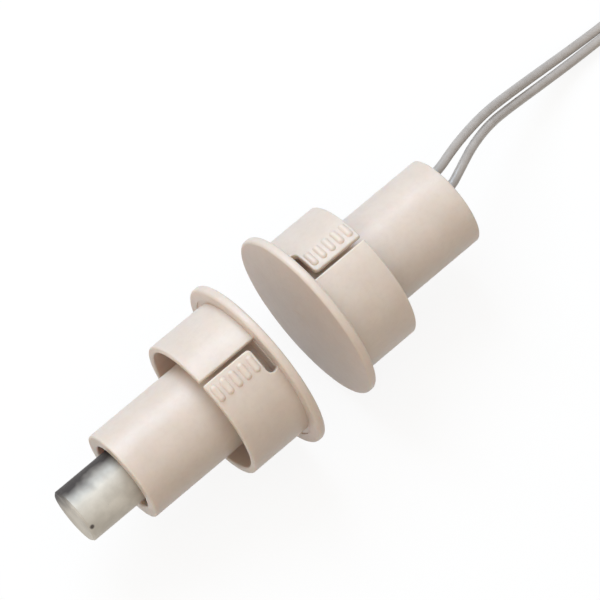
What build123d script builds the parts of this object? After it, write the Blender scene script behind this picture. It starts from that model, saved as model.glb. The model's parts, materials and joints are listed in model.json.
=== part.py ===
from build123d import *
import math
import os

# Recessed magnetic contact for a door or window, in millimetres: a reed switch half with two leads
# and a magnet half, each in a round moulded housing that snaps into a drilled hole.
# The origin is on the switch half's axis, in the plane where its flange seats on the frame.
# +X runs along the switch half's barrel to its leads, +Z is up, and the magnet half faces it from -X.

# The moulded housing, the same for both halves but for the bore
COLLAR_RADIUS = 12.7
COLLAR_WALL = 1.2
COLLAR_LENGTH = 10.9
FLANGE_OVERHANG = 2.7
FLANGE_THICKNESS = 1.5
FLANGE_CROWN = 0.6
FLANGE_EDGE_ROUND = 0.55
BARREL_WALL = 2.15
FRONT_WALL = 1.6
MOUTH_ROUND = 0.3

# A shallow groove round the collar's root clears the burr of the drilled hole
ROOT_GROOVE_WIDTH = 0.8
ROOT_GROOVE_DEPTH = 0.15

# The sprung tabs that lock the collar in its hole: a slot along the collar and one along the flange
TAB_COUNT = 2
TAB_START_ANGLE = 88.0
TAB_ANGLE = 21.5
AXIAL_SLOT = 0.8
ROOT_SLOT = 1.6
SLOT_RELIEF = 0.15
SLOT_EDGE_ROUND = 0.25
TAB_CORNER_ROUND = 0.7
BARB_COUNT = 5
BARB_HEIGHT = 0.4
BARB_WIDTH = 1.2
BARB_CLEAR_OF_SLOT = 0.45
BARB_CLEAR_OF_MOUTH = 0.45
BARB_CLEAR_OF_EDGE = 0.8
BARB_CLEAR_OF_HINGE = 0.5

# The reed switch, with its front lead bent back beside it in a sleeve
GLASS_RADIUS = 1.15
GLASS_LENGTH = 14.0
GLASS_WALL = 0.25
GLASS_SEAL = 2.2
GLASS_END_ROUND = 0.7
REED_LEAD_RADIUS = 0.3
REED_NECK = 0.6
REED_CLEAR_OF_FRONT = 0.4
REED_ACROSS = 0.2
BLADE_WIDTH = 1.2
BLADE_THICKNESS = 0.2
BLADE_OVERLAP = 0.8
BLADE_GAP = 0.15
REAR_TAIL = 4.0
SLEEVE_WALL = 0.25
SLEEVE_PAST_GLASS = 0.6

# The two leads, soldered in a lap beside the reed's tails
LEAD_RADIUS = 0.8
CORE_RADIUS = 0.38
LAP_LENGTH = 2.6
SOLDER_LENGTH = 3.2
SOLDER_RADIUS = 0.95
SOLDER_END_ROUND = 0.65
SOLDER_FILM = 0.04
JACKET_CLEAR_OF_TAIL = 0.5
JACKET_HELD = 5.6
JACKET_CLEAR_OF_BORE = 0.83
LEAD_PLANE_ANGLE = 20.7
POTTING_RECESS = 1.7

# The magnet half, with a barrel of its own length
MAGNET_BARREL_LENGTH = 27.3
MAGNET_RADIUS = 4.85
MAGNET_LENGTH = 37.0
MAGNET_EDGE = 0.3
MAGNET_FIT = 0.05
MAGNET_GLUE_GAP = 1.1
COUNTERBORE_DEPTH = 7.0
GLUE_HEIGHT = 1.5
HALVES_GAP = 10.0
MAGNET_SIDE_STEP = 0.8

# The leads' way from the potting down to the surface that the flanges stand on, as bend points
LEAD_STRAIGHT_OUT = 3.4
LEAD_BEND_SHARE = 0.45
LEAD_A_BENDS = [
    (35.3, 5.5, 1.1),
    (40.1, 6.8, -0.5),
    (45.6, 8.1, -3.1),
    (51.7, 9.1, -6.8),
    (59.3, 9.9, -10.7),
    (67.9, 10.2, -13.4),
    (76.2, 10.0, -14.1),
]
LEAD_B_BENDS = [
    (34.7, 2.5, 0.6),
    (39.0, 4.4, -0.6),
    (44.3, 6.1, -3.2),
    (49.7, 7.2, -6.8),
    (57.4, 8.0, -10.7),
    (66.1, 8.4, -13.4),
    (74.3, 8.4, -14.1),
]

# The coil of the leads' spare length, wound flat on that surface
LEAD_PITCH = 1.65
COIL_INNER_TURN_RADIUS = 6.43
COIL_COLUMNS = 4
COIL_HEIGHT = 5.8
COIL_ROUND = 1.2
COIL_X = 88.2
COIL_Y = -1.5
TIE_THICKNESS = 0.5
TIE_WIDTH = 2.6
TIE_ANGLE = 250.0
TIE_HEAD = (3.2, 2.0, 3.4)

# What follows from the sizes above
FLANGE_RADIUS = COLLAR_RADIUS + FLANGE_OVERHANG
BORE_RADIUS = MAGNET_RADIUS + MAGNET_GLUE_GAP
BARREL_RADIUS = BORE_RADIUS + BARREL_WALL
BORE_FLOOR = FRONT_WALL - FLANGE_THICKNESS
FLOOR_Z = -FLANGE_RADIUS
BARB_SECTION_RADIUS = (BARB_HEIGHT ** 2 + (BARB_WIDTH / 2) ** 2) / (2 * BARB_HEIGHT)
LAP_STEP = REED_LEAD_RADIUS + CORE_RADIUS + SOLDER_FILM
LEAD_B_ACROSS = REED_ACROSS + LAP_STEP
LEAD_A_ACROSS = BORE_RADIUS - JACKET_CLEAR_OF_BORE - LEAD_RADIUS
RETURN_SPACING = LEAD_A_ACROSS - LEAD_B_ACROSS
GLASS_FRONT = BORE_FLOOR + REED_CLEAR_OF_FRONT + REED_LEAD_RADIUS + RETURN_SPACING / 2 + REED_NECK
GLASS_REAR = GLASS_FRONT + GLASS_LENGTH
TAIL_END = GLASS_REAR + REAR_TAIL
JACKET_START = TAIL_END + JACKET_CLEAR_OF_TAIL
POTTING_REAR = JACKET_START + JACKET_HELD
BARREL_LENGTH = POTTING_REAR + POTTING_RECESS
COIL_OUTER_TURN_RADIUS = COIL_INNER_TURN_RADIUS + (COIL_COLUMNS - 1) * LEAD_PITCH
COIL_BOTTOM = FLOOR_Z + TIE_THICKNESS
LEAD_ON_FLOOR = COIL_BOTTOM + LEAD_RADIUS


def arc_degrees(length, radius):
    return math.degrees(length / radius)


def rod(radius, start, end, x=0.0, y=0.0):
    """A round bar along Z between two heights."""
    return Pos(x, y, (start + end) / 2) * Cylinder(radius, end - start)


def ring_sector(r_in, r_out, z_low, z_high, start_angle, arc):
    """A rectangle of the section, turned about Z from start_angle through arc degrees."""
    middle = Pos((r_in + r_out) / 2, (z_low + z_high) / 2)
    section = Plane.XZ * middle * Rectangle(r_out - r_in, z_high - z_low)
    return Rot(0, 0, start_angle) * revolve(section, Axis.Z, arc)


def housing_body(bore_outline, barrel_length):
    """Flange, collar and barrel turned in one piece; bore_outline runs from the mouth to the axis."""
    rim = FLANGE_RADIUS
    front = -FLANGE_THICKNESS
    crown_radius = (rim ** 2 + FLANGE_CROWN ** 2) / (2 * FLANGE_CROWN)
    crown = RadiusArc((0, front - FLANGE_CROWN), (rim, front), -crown_radius)
    pocket_floor = -ROOT_GROOVE_DEPTH
    rim_corners = [(rim, front), (rim, 0)]
    collar_mouth = [(COLLAR_RADIUS, COLLAR_LENGTH), (COLLAR_RADIUS - COLLAR_WALL, COLLAR_LENGTH)]
    barrel_mouth = [(BARREL_RADIUS, barrel_length), (BORE_RADIUS, barrel_length)]
    wall = Polyline(
        *rim_corners,
        (COLLAR_RADIUS + ROOT_GROOVE_WIDTH, 0),
        (COLLAR_RADIUS + ROOT_GROOVE_WIDTH, pocket_floor),
        (COLLAR_RADIUS, pocket_floor),
        *collar_mouth,
        (COLLAR_RADIUS - COLLAR_WALL, pocket_floor),
        (BARREL_RADIUS, pocket_floor),
        *barrel_mouth,
        *bore_outline,
        (0, BORE_FLOOR),
        (0, front - FLANGE_CROWN),
    )
    face = make_face([*crown.edges(), *wall.edges()])
    for place in rim_corners:
        face = fillet(face.vertices().sort_by_distance((*place, 0))[0], FLANGE_EDGE_ROUND)
    for place in collar_mouth + barrel_mouth:
        face = fillet(face.vertices().sort_by_distance((*place, 0))[0], MOUTH_ROUND)
    return revolve(Plane.XZ * face, Axis.Z)


def tab_slots(start_angle):
    """The two slots that free one tab, which stays joined to the collar along its far side."""
    r_in = COLLAR_RADIUS - COLLAR_WALL - BARB_HEIGHT
    r_out = COLLAR_RADIUS + BARB_HEIGHT
    middle = (r_in + r_out) / 2
    bottom = -ROOT_GROOVE_DEPTH - SLOT_RELIEF
    top = COLLAR_LENGTH + AXIAL_SLOT
    along = Pos(middle, 0, (top + bottom) / 2) * Box(r_out - r_in, AXIAL_SLOT, top - bottom)
    root = ring_sector(r_in, r_out, bottom, ROOT_SLOT, -TAB_ANGLE, TAB_ANGLE)
    end_radius = (ROOT_SLOT - bottom) / 2
    end_place = Rot(0, 0, -TAB_ANGLE) * Pos(middle, 0, bottom + end_radius) * Rot(0, 90, 0)
    end = end_place * Cylinder(end_radius, r_out - r_in)
    return Rot(0, 0, start_angle) * (along + root + end)


def barb(middle, start_angle):
    """One low round rib across the tab with ball ends, sunk into the collar's wall."""
    centre = COLLAR_RADIUS + BARB_HEIGHT - BARB_SECTION_RADIUS
    from_edge = arc_degrees(AXIAL_SLOT / 2 + BARB_CLEAR_OF_EDGE + BARB_WIDTH / 2, COLLAR_RADIUS)
    from_hinge = arc_degrees(BARB_CLEAR_OF_HINGE + BARB_WIDTH / 2, COLLAR_RADIUS)
    arc = TAB_ANGLE - from_edge - from_hinge
    rib = revolve(Plane.XZ * Pos(centre, middle) * Circle(BARB_SECTION_RADIUS), Axis.Z, arc)
    for end in (0, arc):
        rib += Rot(0, 0, end) * Pos(centre, 0, middle) * Sphere(BARB_SECTION_RADIUS)
    return Rot(0, 0, start_angle - from_edge - arc) * rib


def housing(bore_outline, barrel_length):
    body = housing_body(bore_outline, barrel_length)
    first = ROOT_SLOT + BARB_CLEAR_OF_SLOT + BARB_WIDTH / 2
    last = COLLAR_LENGTH - BARB_CLEAR_OF_MOUTH - BARB_WIDTH / 2
    pitch = (last - first) / (BARB_COUNT - 1)
    angles = [TAB_START_ANGLE + tab * 360 / TAB_COUNT for tab in range(TAB_COUNT)]
    for angle in angles:
        body = round_slot_edges(body - tab_slots(angle), angle)
    return body + [barb(first + rib * pitch, angle) for angle in angles for rib in range(BARB_COUNT)]


def round_slot_edges(body, angle):
    """Rounds the tab's free corner, then the slot's two long outer edges."""
    half = arc_degrees(AXIAL_SLOT / 2, COLLAR_RADIUS)
    middle = COLLAR_RADIUS - COLLAR_WALL / 2
    turn = math.radians(angle - half)
    corner = body.edges().sort_by_distance((middle * math.cos(turn), middle * math.sin(turn), ROOT_SLOT))[0]
    body = fillet(corner, TAB_CORNER_ROUND)
    sides = []
    for side in (angle - half, angle + half):
        turn = math.radians(side)
        place = (COLLAR_RADIUS * math.cos(turn), COLLAR_RADIUS * math.sin(turn), COLLAR_LENGTH / 2)
        sides.append(body.edges().filter_by(Axis.Z).sort_by_distance(place)[0])
    return fillet(sides, SLOT_EDGE_ROUND)


def reed_blade(seal_end, tip, side):
    """The flat spring part of one reed, from inside its seal to its tip, on one side of the gap."""
    across = side * (BLADE_GAP + BLADE_THICKNESS) / 2
    low, high = sorted((seal_end, tip))
    return Pos(REED_ACROSS + across, 0, (low + high) / 2) * Box(BLADE_THICKNESS, BLADE_WIDTH, high - low)


def glass_envelope():
    """The outside of the glass capsule, with melted round ends."""
    return fillet(rod(GLASS_RADIUS, GLASS_FRONT, GLASS_REAR, REED_ACROSS).edges(), GLASS_END_ROUND)


def reed_parts():
    """The glass capsule, its two reeds with their leads, and the sleeve on the returned lead."""
    middle = (GLASS_FRONT + GLASS_REAR) / 2
    cavity = rod(GLASS_RADIUS - GLASS_WALL, GLASS_FRONT + GLASS_SEAL, GLASS_REAR - GLASS_SEAL, REED_ACROSS)
    through = rod(REED_LEAD_RADIUS, GLASS_FRONT, GLASS_REAR, REED_ACROSS)
    glass = glass_envelope() - cavity - through

    neck = GLASS_FRONT - REED_NECK
    back = REED_ACROSS + RETURN_SPACING
    path = Wire([
        *Line((REED_ACROSS, 0, GLASS_FRONT + GLASS_SEAL), (REED_ACROSS, 0, neck)).edges(),
        *ThreePointArc(
            (REED_ACROSS, 0, neck),
            (REED_ACROSS + RETURN_SPACING / 2, 0, neck - RETURN_SPACING / 2),
            (back, 0, neck),
        ).edges(),
        *Line((back, 0, neck), (back, 0, TAIL_END)).edges(),
    ])
    front_lead = sweep(Plane(path @ 0, z_dir=path % 0) * Circle(REED_LEAD_RADIUS), path)
    blade_tip = BLADE_OVERLAP / 2
    front_reed = front_lead + reed_blade(GLASS_FRONT + GLASS_SEAL, middle + blade_tip, 1)
    rear_lead = rod(REED_LEAD_RADIUS, GLASS_REAR - GLASS_SEAL, TAIL_END, REED_ACROSS)
    rear_reed = rear_lead + reed_blade(GLASS_REAR - GLASS_SEAL, middle - blade_tip, -1)

    sleeve_end = GLASS_REAR + SLEEVE_PAST_GLASS
    sleeve = rod(REED_LEAD_RADIUS + SLEEVE_WALL, neck, sleeve_end, back)
    sleeve -= rod(REED_LEAD_RADIUS, neck, sleeve_end, back)
    return {
        "reed_glass": glass,
        "reed_blade_front": front_reed,
        "reed_blade_rear": rear_reed,
        "return_sleeve": sleeve,
    }


def lead_joint(tail_across):
    """The lap joint of one lead: stripped core, solder round core and tail, and potted jacket."""
    core_across = tail_across + LAP_STEP
    core = rod(CORE_RADIUS, TAIL_END - LAP_LENGTH, JACKET_START, core_across)
    tail = rod(REED_LEAD_RADIUS, GLASS_REAR, TAIL_END, tail_across)
    bead_start = TAIL_END - (LAP_LENGTH + SOLDER_LENGTH) / 2
    bead = rod(SOLDER_RADIUS, bead_start, bead_start + SOLDER_LENGTH, tail_across + LAP_STEP / 2)
    bead = fillet(bead.edges(), SOLDER_END_ROUND) - core - tail
    jacket = rod(LEAD_RADIUS, JACKET_START, POTTING_REAR, core_across)
    return core, bead, jacket


def switch_inside():
    """Everything that the switch half's bore holds, with the reed and leads in one plane."""
    inside = reed_parts()
    for name, tail_across in (("a", REED_ACROSS + RETURN_SPACING), ("b", REED_ACROSS)):
        core, bead, jacket = lead_joint(tail_across)
        inside["lead_core_" + name] = core
        inside["solder_joint_" + name] = bead
        inside["lead_jacket_end_" + name] = jacket
    potting = rod(BORE_RADIUS, BORE_FLOOR, POTTING_REAR)
    for piece in (glass_envelope(), *inside.values()):
        potting -= piece
    inside["potting"] = potting
    return {name: Rot(0, 0, LEAD_PLANE_ANGLE) * piece for name, piece in inside.items()}


def magnet_parts():
    seat_radius = MAGNET_RADIUS + MAGNET_FIT
    seat_top = MAGNET_BARREL_LENGTH - COUNTERBORE_DEPTH
    bore_outline = [(BORE_RADIUS, seat_top), (seat_radius, seat_top), (seat_radius, BORE_FLOOR)]
    shell = housing(bore_outline, MAGNET_BARREL_LENGTH)
    magnet = chamfer(rod(MAGNET_RADIUS, BORE_FLOOR, BORE_FLOOR + MAGNET_LENGTH).edges(), MAGNET_EDGE)
    glue_top = seat_top + GLUE_HEIGHT
    glue = rod(BORE_RADIUS, seat_top, glue_top) - rod(MAGNET_RADIUS, seat_top, glue_top)
    return {"magnet_housing": shell, "magnet": magnet, "magnet_glue": glue}


def lead_exit(across):
    """Where a lead leaves the potting, in the part's own frame."""
    turn = math.radians(LEAD_PLANE_ANGLE)
    return (POTTING_REAR, across * math.cos(turn), across * math.sin(turn))


def lead_route(exit_point, bends, turn_radius):
    """Straight out of the potting, through the bends, to where the lead runs side on into the coil."""
    x, y, z = exit_point
    coil_outside = COIL_OUTER_TURN_RADIUS + LEAD_RADIUS
    reach = math.sqrt(coil_outside ** 2 - turn_radius ** 2)
    at_coil = (COIL_X - reach, COIL_Y + turn_radius, LEAD_ON_FLOOR)
    return [exit_point, (x + LEAD_STRAIGHT_OUT, y, z), *bends, at_coil]


def lead_tube(name, points, coil):
    """A tube on straight runs and tangent arcs through the points, ended by the coil's side."""
    points = [Vector(*p) for p in points]
    runs = [b - a for a, b in zip(points, points[1:])]
    radii = []
    for before, after in zip(runs, runs[1:]):
        half_turn = math.radians(before.get_angle(after)) / 2
        radii.append(LEAD_BEND_SHARE * min(before.length, after.length) / math.tan(half_turn))
    path = FilletPolyline(*points, radius=radii)
    tube = sweep(Plane(path @ 0, z_dir=path % 0) * Circle(LEAD_RADIUS), path)
    print(name, "length", round(path.length, 1), "least bend radius", round(min(radii), 1))
    return tube - coil


def coil_section(grow=0.0):
    """The coil's section beside the Z axis, grown all round by the tie's thickness where asked."""
    width = COIL_OUTER_TURN_RADIUS - COIL_INNER_TURN_RADIUS + 2 * LEAD_RADIUS
    middle = (COIL_OUTER_TURN_RADIUS + COIL_INNER_TURN_RADIUS) / 2
    shape = RectangleRounded(width + 2 * grow, COIL_HEIGHT + 2 * grow, COIL_ROUND + grow)
    return Plane.XZ * Pos(middle, COIL_HEIGHT / 2) * shape


def coil_parts():
    place = Pos(COIL_X, COIL_Y, COIL_BOTTOM)
    coil = place * revolve(coil_section(), Axis.Z)
    outside = COIL_OUTER_TURN_RADIUS + LEAD_RADIUS + TIE_THICKNESS
    arc = arc_degrees(TIE_WIDTH, outside)
    band = Rot(0, 0, TIE_ANGLE - arc / 2) * revolve(coil_section(TIE_THICKNESS), Axis.Z, arc)
    depth, width, height = TIE_HEAD
    head = Rot(0, 0, TIE_ANGLE) * Pos(outside + depth / 2 - TIE_THICKNESS / 2, 0, COIL_HEIGHT / 2) * fillet(
        Box(depth, width, height).edges().filter_by(Axis.Y), TIE_THICKNESS
    )
    return {"lead_coil": coil, "coil_tie": place * (band + head) - coil}


def cord_parts():
    parts = coil_parts()
    routes = {
        "lead_a": lead_route(lead_exit(LEAD_A_ACROSS), LEAD_A_BENDS, COIL_OUTER_TURN_RADIUS),
        "lead_b": lead_route(lead_exit(LEAD_B_ACROSS), LEAD_B_BENDS, COIL_OUTER_TURN_RADIUS - LEAD_PITCH),
    }
    for name, points in routes.items():
        parts[name] = lead_tube(name, points, parts["lead_coil"])
    return parts


def build():
    switch_place = Plane(origin=(0, 0, 0), x_dir=(0, 1, 0), z_dir=(1, 0, 0))
    magnet_place = Plane(
        origin=(-2 * FLANGE_THICKNESS - HALVES_GAP, -MAGNET_SIDE_STEP, 0),
        x_dir=(0, -1, 0),
        z_dir=(-1, 0, 0),
    )
    switch = {"switch_housing": housing([(BORE_RADIUS, BORE_FLOOR)], BARREL_LENGTH), **switch_inside()}
    parts = {name: switch_place * piece for name, piece in switch.items()}
    parts.update({name: magnet_place * piece for name, piece in magnet_parts().items()})
    parts.update(cord_parts())
    return parts


os.makedirs("parts", exist_ok=True)
for node, shape in build().items():
    export_step(shape, f"parts/{node}.step")
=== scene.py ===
import json
import math

import bpy
from mathutils import Matrix, Vector


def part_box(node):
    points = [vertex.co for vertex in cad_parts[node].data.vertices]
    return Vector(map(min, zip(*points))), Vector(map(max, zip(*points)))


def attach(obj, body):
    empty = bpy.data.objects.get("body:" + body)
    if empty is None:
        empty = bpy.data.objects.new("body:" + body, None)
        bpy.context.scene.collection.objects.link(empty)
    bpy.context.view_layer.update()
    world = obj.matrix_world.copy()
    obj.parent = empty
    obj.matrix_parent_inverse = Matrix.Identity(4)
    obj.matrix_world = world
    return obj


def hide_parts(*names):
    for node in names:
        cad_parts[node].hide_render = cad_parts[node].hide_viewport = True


# A recessed magnetic contact: a reed switch half with two leads, and a magnet half.
# Lengths are in millimetres here and turned to metres by MM where Blender gets them.
MM = 0.001
SCENE = bpy.context.scene

# The leads: two single insulated wires, each with its bare, tinned end
LEAD_DIAMETER = 1.6
LEAD_STRAIGHT_OUT = 3.4
LEAD_A_BENDS = [
    (35.3, 5.5, 1.1),
    (40.1, 6.8, -0.5),
    (45.6, 8.1, -3.1),
    (51.7, 9.1, -6.8),
    (59.3, 9.9, -10.7),
    (67.9, 10.2, -13.4),
    (76.2, 10.0, -14.1),
]
LEAD_B_BENDS = [
    (34.7, 2.5, 0.6),
    (39.0, 4.4, -0.6),
    (44.3, 6.1, -3.2),
    (49.7, 7.2, -6.8),
    (57.4, 8.0, -10.7),
    (66.1, 8.4, -13.4),
    (74.3, 8.4, -14.1),
]
CORE_RADIUS = 0.38
TIP_LENGTH = 5.0
TIP_STEPS = 4

# The coil: the two leads wound side by side, up in the outer columns and down in the inner ones
LEAD_PITCH = 1.65
POINTS_PER_TURN = 24
RISE_PER_TURN = 1.6
TURNS = {"a": 3.68, "b": 4.64}
FALL_PER_TURN = {"a": 2.4, "b": 1.8}

# The crossing from an outer column to an inner one, in turns from the start of the winding.
# It climbs twice as much as a winding of its length does, all of it in its first third.
CROSSING_START = 2.1
CROSSING_END = 2.5
CROSSING_CLIMB = 2
CROSSING_HASTE = 3

# Most of a noise texture's values lie between these two
NOISE_LOW = 0.3
NOISE_HIGH = 0.7

# The least dot product of a face's own normal with the smooth one that still counts as a match.
# It is stricter where the face's own normal lies along the halves' axis, as on a flange.
LEAST_MATCH = 0.930
LEAST_MATCH_ON_FLANGE = 0.990
FLANGE_FROM = 0.970
FLANGE_FULL = 0.985
MATCH_FADE = 0.006

# The materials that show
PLASTIC_DARKER = (0.732, 0.630, 0.550)
PLASTIC_PALER = (0.772, 0.672, 0.592)
PLASTIC_CLOUD = (0.686, 0.580, 0.504)
PLASTIC_ROUGHNESS = (0.32, 0.43)
MAGNET_DARKER = (0.560, 0.520, 0.455)
MAGNET_PALER = (0.700, 0.655, 0.580)
MAGNET_PIT = (0.260, 0.240, 0.225)
MAGNET_ROUGHNESS = (0.48, 0.62)
JACKET_DARKER = (0.430, 0.395, 0.368)
JACKET_PALER = (0.500, 0.462, 0.432)
JACKET_ROUGHNESS = (0.20, 0.32)

# The magnet's painted dark reflection on one side, which grows darker this way from the frame's origin,
# with a wavy border
DARK_SIDE = (0.0, 0.958, 0.288)
DARK_FROM = 0.2
DARK_FULL = 3.3
DARK_WAVE = 0.5
PAINTED_REFLECTION_COLOUR = (0.036, 0.029, 0.030)

# The dark chip near the rim of the magnet's free end
CHIP_PLACE = (-49.5, -4.7, 2.9)
CHIP_CORE_RADIUS = 0.25
CHIP_RADIUS = 0.50
CHIP_COLOUR = (0.060, 0.045, 0.040)

# The photograph's view: its angle, distance and scale, for a picture of 600 by 600 pixels
PICTURE_PIXELS = 600
CAMERA_AZIMUTH = -41.92
CAMERA_ELEVATION = 68.0
CAMERA_DISTANCE = 550.0
CAMERA_NEAREST = 10
CAMERA_FARTHEST = 10000
MM_PER_PIXEL = 0.1581
ORIGIN_PIXEL = (311.5, 312.5)
SENSOR_WIDTH = 36.0

# The light: a soft key lamp from the far side, over a warm sky that fades away from it
KEY_DIRECTION = (0.05, 0.62, 0.80)
KEY_DISTANCE = 480.0
KEY_SIZE = 320.0
KEY_WATTS = 1.56
KEY_COLOUR = (0.65, 0.81, 1.0)
SKY_COLOUR = (1.0, 0.935, 0.845)
SKY_LEVEL = 0.29
SKY_SLOPE = (-0.28, -0.05, 0.68)
WHITE = (1.0, 1.0, 1.0)

# The floor: its colour where it shows, how much of its own shading shows, and what it throws back
FLOOR_HALF = 1500.0
FLOOR_COLOUR = (0.98, 0.98, 0.98)
FLOOR_SHADOW_SHARE = 0.12
FLOOR_BOUNCE = (0.32, 0.30, 0.28)


def lerp(start, end, share):
    return start + (end - start) * share


def ride_root(obj):
    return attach(obj, "root")


# Node helpers

def feed(socket, value):
    """Links a source to a socket, or sets the socket's own value. Colours come without an alpha."""
    if isinstance(value, bpy.types.NodeSocket):
        socket.id_data.links.new(value, socket)
    elif socket.type == "RGBA":
        socket.default_value = (*value, 1.0)
    else:
        socket.default_value = value


def node_adder(tree):
    """A function that adds a node to the tree, with its settings and what feeds its inputs."""
    def add(kind, settings=None, **inputs):
        node = tree.nodes.new(kind)
        for key, value in (settings or {}).items():
            setattr(node, key, value)
        for key, value in inputs.items():
            feed(node.inputs[key.replace("_", " ")], value)
        return node

    return add


def new_material(name):
    """A material with its shader, a function that adds a node, and one that feeds the shader."""
    material = bpy.data.materials.new(name)
    material.use_nodes = True
    shader = material.node_tree.nodes["Principled BSDF"]

    def join(source, socket_name):
        feed(shader.inputs[socket_name], source)

    return material, shader, node_adder(material.node_tree), join


def math_of_two(add, kind, operation, first, second):
    """The value that a math or vector math node makes of two numbers, vectors or sockets."""
    node = add(kind, {"operation": operation})
    feed(node.inputs[0], first)
    feed(node.inputs[1], second)
    return node.outputs["Value"]


def object_mm(add):
    """The object's own coordinates in millimetres."""
    place = add("ShaderNodeTexCoord").outputs["Object"]
    return add("ShaderNodeMapping", Vector=place, Scale=(1 / MM, 1 / MM, 1 / MM)).outputs["Vector"]


def noise(add, place, scale, detail=3.0, rough=0.55):
    node = add("ShaderNodeTexNoise", Vector=place, Scale=scale, Detail=detail, Roughness=rough)
    return node.outputs["Fac"]


def ramp(add, value, low, high, to_low, to_high):
    """A value's span from low to high, mapped to another span and held at its ends."""
    ends = {"From_Min": low, "From_Max": high, "To_Min": to_low, "To_Max": to_high}
    return add("ShaderNodeMapRange", Value=value, **ends).outputs["Result"]


def spread(add, value, low, high):
    """A noise's usual span, mapped to the span from low to high."""
    return ramp(add, value, NOISE_LOW, NOISE_HIGH, low, high)


def mixed(add, share, first, second):
    """A colour between two, which are colours or sockets."""
    node = add("ShaderNodeMix", {"data_type": "RGBA"})
    feed(node.inputs[0], share)
    feed(node.inputs[6], first)
    feed(node.inputs[7], second)
    return node.outputs[2]


def steady_normal(add):
    """The smooth normal, or the face's own where the two lean too far apart, as at a flange's apex."""
    geometry = add("ShaderNodeNewGeometry").outputs
    smooth, own = geometry["Normal"], geometry["True Normal"]
    match = math_of_two(add, "ShaderNodeVectorMath", "DOT_PRODUCT", smooth, own)
    along = add("ShaderNodeSeparateXYZ", Vector=own).outputs["X"]
    flat = add("ShaderNodeMath", {"operation": "ABSOLUTE"}, Value=along).outputs["Value"]
    limit = ramp(add, flat, FLANGE_FROM, FLANGE_FULL, LEAST_MATCH, LEAST_MATCH_ON_FLANGE)
    spare = math_of_two(add, "ShaderNodeMath", "SUBTRACT", match, limit)
    node = add("ShaderNodeMix", {"data_type": "VECTOR"})
    feed(node.inputs[0], ramp(add, spare, 0.0, MATCH_FADE, 0.0, 1.0))
    feed(node.inputs[4], own)
    feed(node.inputs[5], smooth)
    return node.outputs[1]


def bump(add, height, depth_mm, strength=1.0, below=None):
    settings = {"Height": height, "Strength": strength, "Distance": depth_mm * MM}
    if below is not None:
        settings["Normal"] = below
    return add("ShaderNodeBump", **settings).outputs["Normal"]


# Materials

def ivory_plastic():
    """Moulded ivory plastic: translucent, with a faint mottle and a fine tool texture."""
    material, shader, add, join = new_material("ivory_plastic")
    place = object_mm(add)
    mottle = spread(add, noise(add, place, 0.22), 0.0, 1.0)
    tone = mixed(add, mottle, PLASTIC_DARKER, PLASTIC_PALER)
    cloud = ramp(add, noise(add, place, 1.1, 2.0), 0.45, 0.75, 0.0, 0.35)
    join(mixed(add, cloud, tone, PLASTIC_CLOUD), "Base Color")
    join(spread(add, noise(add, place, 0.9), *PLASTIC_ROUGHNESS), "Roughness")
    grain = bump(add, noise(add, place, 9.0, 2.0), 0.005, below=steady_normal(add))
    join(bump(add, noise(add, place, 0.35, 1.0), 0.04, below=grain), "Normal")
    shader.inputs["Specular IOR Level"].default_value = 0.5
    shader.inputs["Subsurface Weight"].default_value = 0.6
    shader.inputs["Subsurface Radius"].default_value = (1.0, 0.6, 0.4)
    shader.inputs["Subsurface Scale"].default_value = 2.0 * MM
    return material


def magnet_metal():
    """Magnet alloy: blotchy satin grey with small pits, a painted dark reflection on one side and a chip at
    its free end.
    """
    material, shader, add, join = new_material("magnet_metal")
    place = object_mm(add)
    blotch = ramp(add, noise(add, place, 0.35, 4.0), 0.35, 0.65, 0.0, 1.0)
    tone = mixed(add, blotch, MAGNET_DARKER, MAGNET_PALER)
    pit = ramp(add, noise(add, place, 3.2, 6.0, 0.7), 0.66, 0.74, 0.0, 0.7)
    pitted = mixed(add, pit, tone, MAGNET_PIT)
    # Painted dark reflection: the base colour turns dark towards one side by its place, not by any light
    outward = math_of_two(add, "ShaderNodeVectorMath", "DOT_PRODUCT", place, DARK_SIDE)
    wave = spread(add, noise(add, place, 0.30, 2.0), -DARK_WAVE, DARK_WAVE)
    reach = math_of_two(add, "ShaderNodeMath", "ADD", outward, wave)
    dark = ramp(add, reach, DARK_FROM, DARK_FULL, 0.0, 0.95)
    with_painted_reflection = mixed(add, dark, pitted, PAINTED_REFLECTION_COLOUR)
    from_chip = math_of_two(add, "ShaderNodeVectorMath", "DISTANCE", place, CHIP_PLACE)
    chip = ramp(add, from_chip, CHIP_CORE_RADIUS, CHIP_RADIUS, 0.9, 0.0)
    join(mixed(add, chip, with_painted_reflection, CHIP_COLOUR), "Base Color")
    join(spread(add, noise(add, place, 1.4, 3.0), *MAGNET_ROUGHNESS), "Roughness")
    grain = bump(add, noise(add, place, 7.0, 5.0), 0.010)
    join(bump(add, pit, 0.03, below=grain), "Normal")
    shader.inputs["Metallic"].default_value = 0.42
    shader.inputs["Specular IOR Level"].default_value = 0.25
    return material


def lead_jacket():
    """Light grey insulation, smooth and slightly glossy, with a faint uneven surface."""
    material, shader, add, join = new_material("lead_jacket")
    place = object_mm(add)
    shade = spread(add, noise(add, place, 0.5), 0.0, 1.0)
    join(mixed(add, shade, JACKET_DARKER, JACKET_PALER), "Base Color")
    join(spread(add, noise(add, place, 1.5), *JACKET_ROUGHNESS), "Roughness")
    join(bump(add, noise(add, place, 6.0, 3.0), 0.008), "Normal")
    shader.inputs["Subsurface Weight"].default_value = 0.12
    shader.inputs["Subsurface Radius"].default_value = (0.5, 0.45, 0.4)
    shader.inputs["Subsurface Scale"].default_value = 0.5 * MM
    return material


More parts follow.
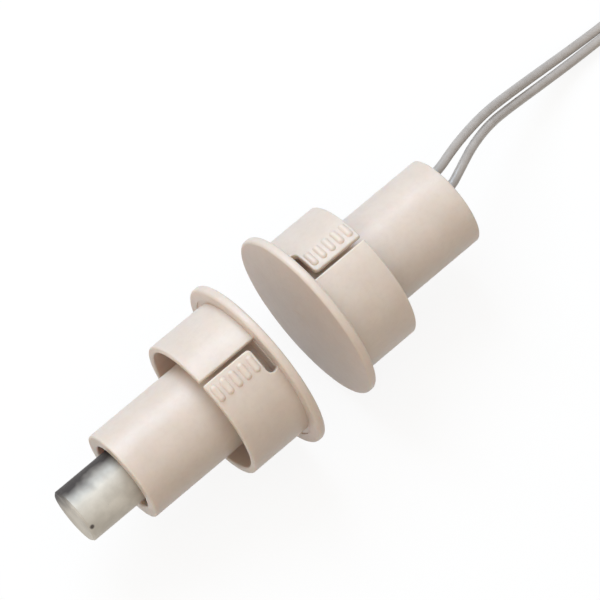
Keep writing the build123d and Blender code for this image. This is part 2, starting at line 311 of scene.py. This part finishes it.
def epoxy():
    """Cast resin with small bubbles under a glossy skin."""
    material, shader, add, join = new_material("epoxy")
    place = object_mm(add)
    cloud = spread(add, noise(add, place, 0.5, 4.0), 0.0, 1.0)
    tone = mixed(add, cloud, (0.420, 0.370, 0.295), (0.500, 0.450, 0.370))
    cells = add("ShaderNodeTexVoronoi", Vector=place, Scale=1.1).outputs["Distance"]
    bubble = ramp(add, cells, 0.10, 0.16, 1.0, 0.0)
    join(mixed(add, bubble, tone, (0.330, 0.285, 0.220)), "Base Color")
    join(spread(add, noise(add, place, 1.2), 0.16, 0.30), "Roughness")
    ripple = bump(add, noise(add, place, 0.6, 2.0), 0.10)
    join(bump(add, bubble, -0.05, below=ripple), "Normal")
    shader.inputs["Subsurface Weight"].default_value = 0.2
    shader.inputs["Subsurface Scale"].default_value = 1.0 * MM
    return material


def drawn_metal(name, dark, light, rough_low, rough_high):
    """Small drawn or tinned metal, with a fine uneven surface."""
    material, shader, add, join = new_material(name)
    place = object_mm(add)
    join(mixed(add, noise(add, place, 2.0, 4.0), dark, light), "Base Color")
    join(spread(add, noise(add, place, 4.0, 4.0), rough_low, rough_high), "Roughness")
    join(bump(add, noise(add, place, 12.0, 3.0), 0.006), "Normal")
    shader.inputs["Metallic"].default_value = 1.0
    return material


def capsule_glass():
    """Clear, faintly green glass with slight waves."""
    material, shader, add, join = new_material("reed_glass")
    place = object_mm(add)
    join(mixed(add, noise(add, place, 0.8), (0.86, 0.94, 0.89), (0.92, 0.97, 0.94)), "Base Color")
    join(spread(add, noise(add, place, 3.0), 0.02, 0.06), "Roughness")
    join(bump(add, noise(add, place, 0.7, 1.0), 0.02), "Normal")
    shader.inputs["Transmission Weight"].default_value = 0.95
    shader.inputs["IOR"].default_value = 1.5
    return material


def soft_plastic(name, dark, light):
    """Natural nylon or sleeving, slightly clouded."""
    material, shader, add, join = new_material(name)
    place = object_mm(add)
    join(mixed(add, noise(add, place, 0.8, 3.0), dark, light), "Base Color")
    join(spread(add, noise(add, place, 2.0), 0.35, 0.50), "Roughness")
    join(bump(add, noise(add, place, 8.0, 3.0), 0.008), "Normal")
    shader.inputs["Subsurface Weight"].default_value = 0.3
    shader.inputs["Subsurface Scale"].default_value = 0.8 * MM
    return material


MATERIALS = {
    "ivory_plastic": ivory_plastic(),
    "magnet_metal": magnet_metal(),
    "lead_jacket": lead_jacket(),
    "epoxy": epoxy(),
    "reed_metal": drawn_metal("reed_metal", (0.50, 0.48, 0.44), (0.66, 0.64, 0.60), 0.25, 0.40),
    "solder": drawn_metal("solder", (0.52, 0.52, 0.52), (0.74, 0.74, 0.74), 0.15, 0.30),
    "tinned_copper": drawn_metal("tinned_copper", (0.56, 0.54, 0.51), (0.76, 0.74, 0.71), 0.22, 0.38),
    "reed_glass": capsule_glass(),
    "sleeve_plastic": soft_plastic("sleeve_plastic", (0.62, 0.62, 0.59), (0.72, 0.72, 0.69)),
    "tie_plastic": soft_plastic("tie_plastic", (0.66, 0.64, 0.58), (0.76, 0.74, 0.69)),
}


def dress_nodes():
    """Gives each node that stays from the CAD the material of its slot in the record."""
    for part in frame["record"]["subparts"]:
        data = frame["nodes"][part["node"]].data
        data.materials.clear()
        data.materials.append(MATERIALS[part["material_slot"]])


# Leads

def nurbs_tube(name, points, radius):
    """A round tube on one smooth spline whose control points are given in millimetres."""
    curve = bpy.data.curves.new(name, "CURVE")
    curve.dimensions = "3D"
    curve.resolution_u = 8
    curve.bevel_depth = radius * MM
    curve.bevel_resolution = 8
    curve.use_fill_caps = True
    spline = curve.splines.new("NURBS")
    spline.points.add(len(points) - 1)
    for place, point in zip(spline.points, points):
        place.co = (point[0] * MM, point[1] * MM, point[2] * MM, 1.0)
    spline.order_u = 3
    spline.use_endpoint_u = True
    tube = bpy.data.objects.new(name, curve)
    SCENE.collection.objects.link(tube)
    return tube


def coil_point(centre, outer_radius, fall, turn):
    """A point of a lead's winding, after so many turns clockwise from its start."""
    inner_radius = outer_radius - 2 * LEAD_PITCH
    lowest = LEAD_DIAMETER / 2
    crossing_low = lowest + RISE_PER_TURN * CROSSING_START
    crossing_high = crossing_low + (CROSSING_END - CROSSING_START) * CROSSING_CLIMB * RISE_PER_TURN
    if turn < CROSSING_START:
        radius, height = outer_radius, lowest + RISE_PER_TURN * turn
    elif turn < CROSSING_END:
        share = (turn - CROSSING_START) / (CROSSING_END - CROSSING_START)
        ease = (1 - math.cos(math.pi * share)) / 2
        radius = lerp(outer_radius, inner_radius, ease)
        height = lerp(crossing_low, crossing_high, min(1.0, CROSSING_HASTE * share))
    else:
        radius, height = inner_radius, crossing_high - fall * (turn - CROSSING_END)
    angle = 2 * math.pi * turn
    return (centre[0] + radius * math.sin(angle), centre[1] + radius * math.cos(angle), centre[2] + height)


def add_lead(name, bends, column):
    """One lead from its exit in the potting to the coil and round it, and its bare end."""
    low, high = (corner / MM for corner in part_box("lead_jacket_end_" + name))
    exit_point = (high.x, (low.y + high.y) / 2, (low.z + high.z) / 2)
    low, high = (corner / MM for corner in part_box("lead_coil"))
    centre = ((low.x + high.x) / 2, (low.y + high.y) / 2, low.z)
    outer_radius = (high.x - low.x) / 2 - LEAD_DIAMETER / 2 - column * LEAD_PITCH

    def winding(turn):
        return coil_point(centre, outer_radius, FALL_PER_TURN[name], turn)

    steps = round(TURNS[name] * POINTS_PER_TURN)
    turns = [TURNS[name] * step / steps for step in range(steps + 1)]
    straight = (exit_point[0] + LEAD_STRAIGHT_OUT, exit_point[1], exit_point[2])
    points = [exit_point, straight, *bends, *(winding(turn) for turn in turns)]
    lead = nurbs_tube("lead_line_" + name, points, LEAD_DIAMETER / 2)
    lead.data.materials.append(MATERIALS["lead_jacket"])

    tip_radius = outer_radius - 2 * LEAD_PITCH
    tip_turn = TIP_LENGTH / (2 * math.pi * tip_radius)
    tip_points = [winding(TURNS[name] + tip_turn * step / TIP_STEPS) for step in range(TIP_STEPS + 1)]
    tip = nurbs_tube("lead_tip_" + name, tip_points, CORE_RADIUS)
    tip.data.materials.append(MATERIALS["tinned_copper"])

    ride_root(lead)
    ride_root(tip)
    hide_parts("lead_" + name, "lead_coil")


# Studio

def seen_share(add):
    """1 for rays that show the background itself, in the picture, in metal or in glass, and 0 for light."""
    rays = add("ShaderNodeLightPath").outputs
    share = rays["Is Camera Ray"]
    for kind in ("Is Glossy Ray", "Is Transmission Ray"):
        share = math_of_two(add, "ShaderNodeMath", "MAXIMUM", share, rays[kind])
    return share


def mix_shaders(add, share, first, second):
    node = add("ShaderNodeMixShader")
    for socket, value in zip(node.inputs, (share, first, second)):
        feed(socket, value)
    return node.outputs["Shader"]


def add_floor(height):
    """A large pale floor, which shows white in the picture but for a light shadow."""
    half = FLOOR_HALF * MM
    mesh = bpy.data.meshes.new("floor")
    corners = [(-half, -half, height), (half, -half, height), (half, half, height), (-half, half, height)]
    mesh.from_pydata(corners, [], [(0, 1, 2, 3)])
    floor = bpy.data.objects.new("floor", mesh)
    material, shader, add, join = new_material("floor")
    join(FLOOR_COLOUR, "Base Color")
    join(0.9, "Roughness")
    join(0.0, "Specular IOR Level")
    white = add("ShaderNodeEmission", Strength=1.0).outputs["Emission"]
    seen = mix_shaders(add, FLOOR_SHADOW_SHARE, white, shader.outputs["BSDF"])
    bounce = add("ShaderNodeBsdfDiffuse", Color=FLOOR_BOUNCE).outputs["BSDF"]
    surface = mix_shaders(add, seen_share(add), bounce, seen)
    feed(material.node_tree.nodes["Material Output"].inputs["Surface"], surface)
    mesh.materials.append(material)
    SCENE.collection.objects.link(floor)


def add_world():
    """White where it shows, and for the light a warm sky that is brighter on the key's side."""
    world = bpy.data.worlds.new("world")
    world.use_nodes = True
    nodes = world.node_tree.nodes
    add = node_adder(world.node_tree)
    direction = add("ShaderNodeTexCoord").outputs["Generated"]
    slope = math_of_two(add, "ShaderNodeVectorMath", "DOT_PRODUCT", direction, SKY_SLOPE)
    sky = nodes["Background"]
    feed(sky.inputs["Color"], SKY_COLOUR)
    feed(sky.inputs["Strength"], math_of_two(add, "ShaderNodeMath", "ADD", slope, SKY_LEVEL))
    white = add("ShaderNodeBackground", Color=WHITE).outputs["Background"]
    surface = mix_shaders(add, seen_share(add), sky.outputs["Background"], white)
    feed(nodes["World Output"].inputs["Surface"], surface)
    SCENE.world = world


def add_key():
    """A round soft lamp that looks at the frame's origin."""
    light = bpy.data.lights.new("key", "AREA")
    light.shape = "DISK"
    light.size = KEY_SIZE * MM
    light.energy = KEY_WATTS
    light.color = KEY_COLOUR
    lamp = bpy.data.objects.new("key", light)
    direction = Vector(KEY_DIRECTION).normalized()
    turn = direction.to_track_quat("Z", "Y").to_matrix().to_4x4()
    lamp.matrix_world = Matrix.Translation(direction * KEY_DISTANCE * MM) @ turn
    SCENE.collection.objects.link(lamp)


def camera_axes():
    """The picture's right, its up, and the direction back to the camera, in the part's frame."""
    azimuth, elevation = math.radians(CAMERA_AZIMUTH), math.radians(CAMERA_ELEVATION)
    right = Vector((math.cos(azimuth), math.sin(azimuth), 0.0))
    back = Vector((
        math.sin(azimuth) * math.cos(elevation),
        -math.cos(azimuth) * math.cos(elevation),
        math.sin(elevation),
    ))
    return right, back.cross(right), back


def add_camera():
    """Looks straight along the view, placed so that the frame's origin meets its pixel."""
    right, up, back = camera_axes()
    middle = PICTURE_PIXELS / 2
    across = (ORIGIN_PIXEL[0] - middle) * MM_PER_PIXEL
    down = (ORIGIN_PIXEL[1] - middle) * MM_PER_PIXEL
    place = CAMERA_DISTANCE * back - across * right + down * up
    data = bpy.data.cameras.new("camera")
    data.sensor_width = SENSOR_WIDTH
    data.lens = SENSOR_WIDTH * CAMERA_DISTANCE / MM_PER_PIXEL / PICTURE_PIXELS
    data.clip_start = CAMERA_NEAREST * MM
    data.clip_end = CAMERA_FARTHEST * MM
    camera = bpy.data.objects.new("camera", data)
    turn = Matrix((right, up, back)).transposed().to_4x4()
    camera.matrix_world = Matrix.Translation(place * MM) @ turn
    SCENE.collection.objects.link(camera)
    SCENE.camera = camera


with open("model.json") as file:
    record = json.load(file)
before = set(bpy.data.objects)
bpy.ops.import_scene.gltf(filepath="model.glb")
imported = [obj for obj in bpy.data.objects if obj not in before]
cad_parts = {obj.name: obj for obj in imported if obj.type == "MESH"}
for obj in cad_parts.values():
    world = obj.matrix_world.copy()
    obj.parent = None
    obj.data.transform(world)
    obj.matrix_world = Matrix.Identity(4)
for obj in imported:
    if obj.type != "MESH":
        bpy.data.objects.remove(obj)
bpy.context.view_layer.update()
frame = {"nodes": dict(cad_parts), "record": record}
SCENE.view_settings.view_transform = "Standard"
add_camera()
dress_nodes()
add_lead("a", LEAD_A_BENDS, 0)
add_lead("b", LEAD_B_BENDS, 1)
add_floor(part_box("switch_housing")[0].z)
add_world()
add_key()
